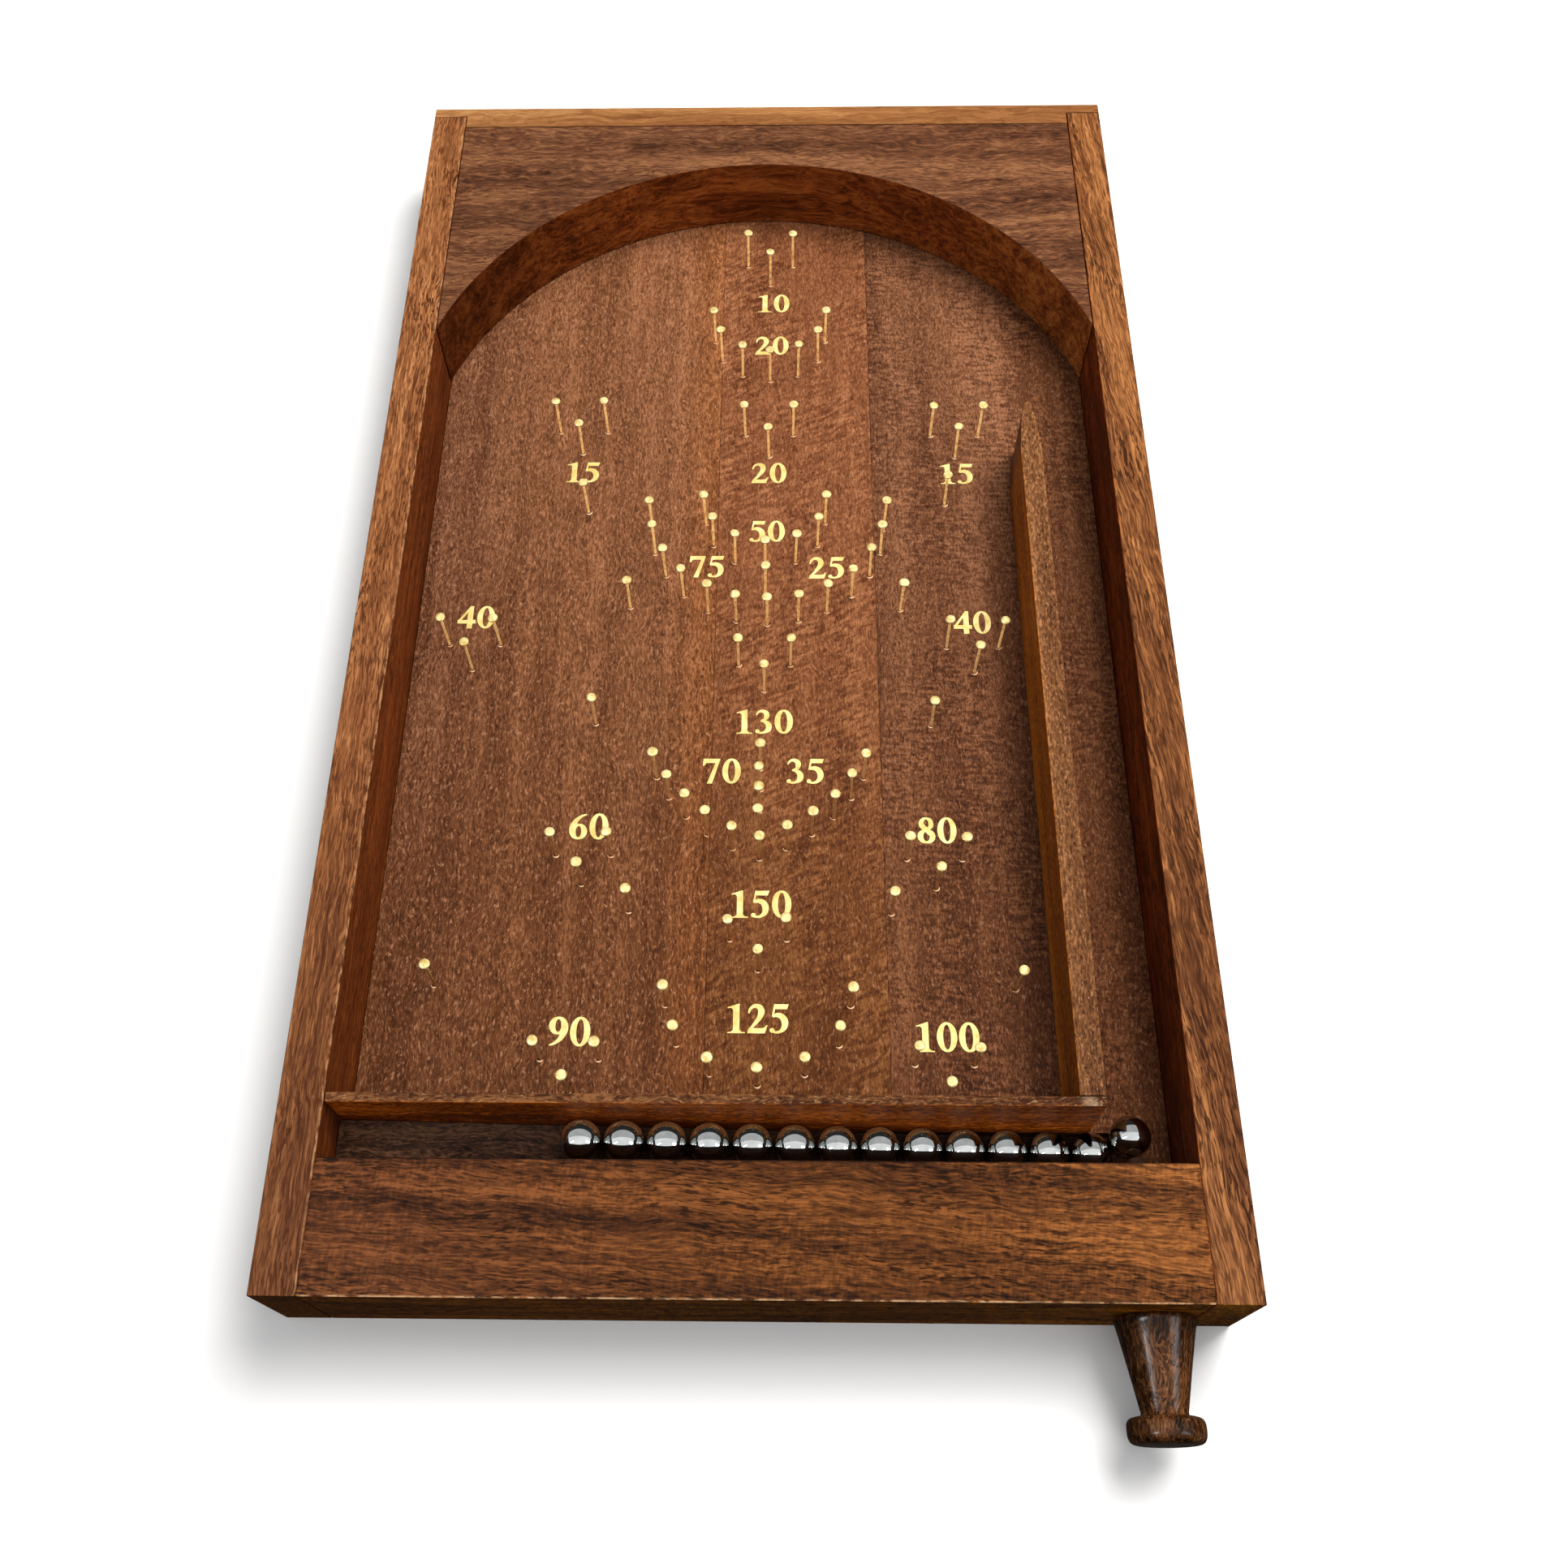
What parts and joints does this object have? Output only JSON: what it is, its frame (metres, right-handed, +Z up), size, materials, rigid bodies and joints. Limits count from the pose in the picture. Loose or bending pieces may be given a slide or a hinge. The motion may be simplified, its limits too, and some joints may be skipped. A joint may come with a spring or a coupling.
{
  "type": "tabletop bagatelle board",
  "caption": "Wooden tabletop ball game: a pinned tray with scoring pockets, an arched far end, a launch lane, a ball trough, loose steel balls and a spring plunger.",
  "frame": {"origin": "centre of the tray's underside, between the outer faces of the rails", "axes": "+X right, +Y away from the player towards the arch, +Z up; the plunger points to -Y"},
  "size_m": [0.24, 0.4442, 0.0335],
  "materials": {
    "rail_wood": "oiled hardwood, medium reddish brown with dark pores along the length",
    "front_wood": "oiled hardwood, rich orange brown with dark streaks across the board",
    "back_wood": "oiled hardwood, light honey brown",
    "panel_wood": "bare thin plywood",
    "arch_wood": "oiled hardwood, greyish purple brown",
    "divider_wood": "oiled hardwood, light tan top edge",
    "strip_wood": "oiled hardwood, dark orange brown",
    "ramp_wood": "near-black stained wood",
    "knob_wood": "polished dark walnut",
    "rod_wood": "bare hardwood dowel",
    "field_wood_left": "satin hardwood, straight grain",
    "field_wood_centre": "satin hardwood, rippled figure",
    "field_wood_right": "satin hardwood, cross rippled figure",
    "ball_steel": "polished bearing steel",
    "spring_steel": "drawn spring wire",
    "collar_brass": "turned brass",
    "brass_pin": "bright brass nail"
  },
  "bodies": {
    "root": {"arch_block": "arch_wood", "back_rail": "back_wood", "bottom_panel": "panel_wood", "front_rail": "front_wood", "lane_divider": "divider_wood", "pin_below_60": "brass_pin", "pin_below_80": "brass_pin", "pin_centre": "brass_pin", "pin_cup_left": "brass_pin", "pin_cup_right": "brass_pin", "pin_lower_left": "brass_pin", "pin_lower_right": "brass_pin", "pin_middle_left": "brass_pin", "pin_middle_right": "brass_pin", "pin_upper_left": "brass_pin", "pin_upper_right": "brass_pin", "pins_column": "brass_pin", "pins_cup125": "brass_pin", "pins_cup20": "brass_pin", "pins_cup25_75": "brass_pin", "pins_cup35_70": "brass_pin", "pins_cup50": "brass_pin", "pins_v10": "brass_pin", "pins_v100": "brass_pin", "pins_v130": "brass_pin", "pins_v150": "brass_pin", "pins_v15_left": "brass_pin", "pins_v15_right": "brass_pin", "pins_v20": "brass_pin", "pins_v40_left": "brass_pin", "pins_v40_right": "brass_pin", "pins_v60": "brass_pin", "pins_v80": "brass_pin", "pins_v90": "brass_pin", "playfield_centre": "field_wood_centre", "playfield_left": "field_wood_left", "playfield_right": "field_wood_right", "side_rail_left": "rail_wood", "side_rail_right": "rail_wood", "trough_ramp": "ramp_wood", "trough_strip": "strip_wood", "plunger_spring": "spring_steel"},
    "plunger": {"plunger_knob": "knob_wood", "plunger_rod": "rod_wood", "plunger_collar": "collar_brass"},
    "ball_01": {"ball_01": "ball_steel"},
    "ball_02": {"ball_02": "ball_steel"},
    "ball_03": {"ball_03": "ball_steel"},
    "ball_04": {"ball_04": "ball_steel"},
    "ball_05": {"ball_05": "ball_steel"},
    "ball_06": {"ball_06": "ball_steel"},
    "ball_07": {"ball_07": "ball_steel"},
    "ball_08": {"ball_08": "ball_steel"},
    "ball_09": {"ball_09": "ball_steel"},
    "ball_10": {"ball_10": "ball_steel"},
    "ball_11": {"ball_11": "ball_steel"},
    "ball_12": {"ball_12": "ball_steel"},
    "ball_13": {"ball_13": "ball_steel"},
    "ball_lane": {"ball_lane": "ball_steel"}
  },
  "joints": [
    {"name": "plunger_pull", "type": "slide", "parent": "root", "child": "plunger", "axis": [0, -1, 0], "range_m": [0, 0.014], "stiffness_N_per_m": 250, "springref_m": -0.006, "deforming": ["plunger_spring"]},
    {"name": "ball_01_roll", "type": "slide", "parent": "root", "child": "ball_01", "axis": [-0.9976, 0, 0.0698], "range_m": [0, 0.055]},
    {"name": "ball_02_roll", "type": "slide", "parent": "root", "child": "ball_02", "axis": [-0.9976, 0, 0.0698], "range_m": [0, 0.055]},
    {"name": "ball_03_roll", "type": "slide", "parent": "root", "child": "ball_03", "axis": [-0.9976, 0, 0.0698], "range_m": [0, 0.055]},
    {"name": "ball_04_roll", "type": "slide", "parent": "root", "child": "ball_04", "axis": [-0.9976, 0, 0.0698], "range_m": [0, 0.055]},
    {"name": "ball_05_roll", "type": "slide", "parent": "root", "child": "ball_05", "axis": [-0.9976, 0, 0.0698], "range_m": [0, 0.055]},
    {"name": "ball_06_roll", "type": "slide", "parent": "root", "child": "ball_06", "axis": [-0.9976, 0, 0.0698], "range_m": [0, 0.055]},
    {"name": "ball_07_roll", "type": "slide", "parent": "root", "child": "ball_07", "axis": [-0.9976, 0, 0.0698], "range_m": [0, 0.055]},
    {"name": "ball_08_roll", "type": "slide", "parent": "root", "child": "ball_08", "axis": [-0.9976, 0, 0.0698], "range_m": [0, 0.055]},
    {"name": "ball_09_roll", "type": "slide", "parent": "root", "child": "ball_09", "axis": [-0.9976, 0, 0.0698], "range_m": [0, 0.055]},
    {"name": "ball_10_roll", "type": "slide", "parent": "root", "child": "ball_10", "axis": [-0.9976, 0, 0.0698], "range_m": [0, 0.055]},
    {"name": "ball_11_roll", "type": "slide", "parent": "root", "child": "ball_11", "axis": [-0.9976, 0, 0.0698], "range_m": [0, 0.055]},
    {"name": "ball_12_roll", "type": "slide", "parent": "root", "child": "ball_12", "axis": [-0.9976, 0, 0.0698], "range_m": [0, 0.055]},
    {"name": "ball_13_roll", "type": "slide", "parent": "root", "child": "ball_13", "axis": [-0.9976, 0, 0.0698], "range_m": [0, 0.055]},
    {"name": "ball_lane_roll", "type": "slide", "parent": "root", "child": "ball_lane", "axis": [0, 1, 0], "range_m": [0, 0.22]}
  ],
  "couplings": [
    {"joint": "ball_02_roll", "follows": "ball_01_roll", "ratio": 1},
    {"joint": "ball_03_roll", "follows": "ball_01_roll", "ratio": 1},
    {"joint": "ball_04_roll", "follows": "ball_01_roll", "ratio": 1},
    {"joint": "ball_05_roll", "follows": "ball_01_roll", "ratio": 1},
    {"joint": "ball_06_roll", "follows": "ball_01_roll", "ratio": 1},
    {"joint": "ball_07_roll", "follows": "ball_01_roll", "ratio": 1},
    {"joint": "ball_08_roll", "follows": "ball_01_roll", "ratio": 1},
    {"joint": "ball_09_roll", "follows": "ball_01_roll", "ratio": 1},
    {"joint": "ball_10_roll", "follows": "ball_01_roll", "ratio": 1},
    {"joint": "ball_11_roll", "follows": "ball_01_roll", "ratio": 1},
    {"joint": "ball_12_roll", "follows": "ball_01_roll", "ratio": 1},
    {"joint": "ball_13_roll", "follows": "ball_01_roll", "ratio": 1}
  ]
}
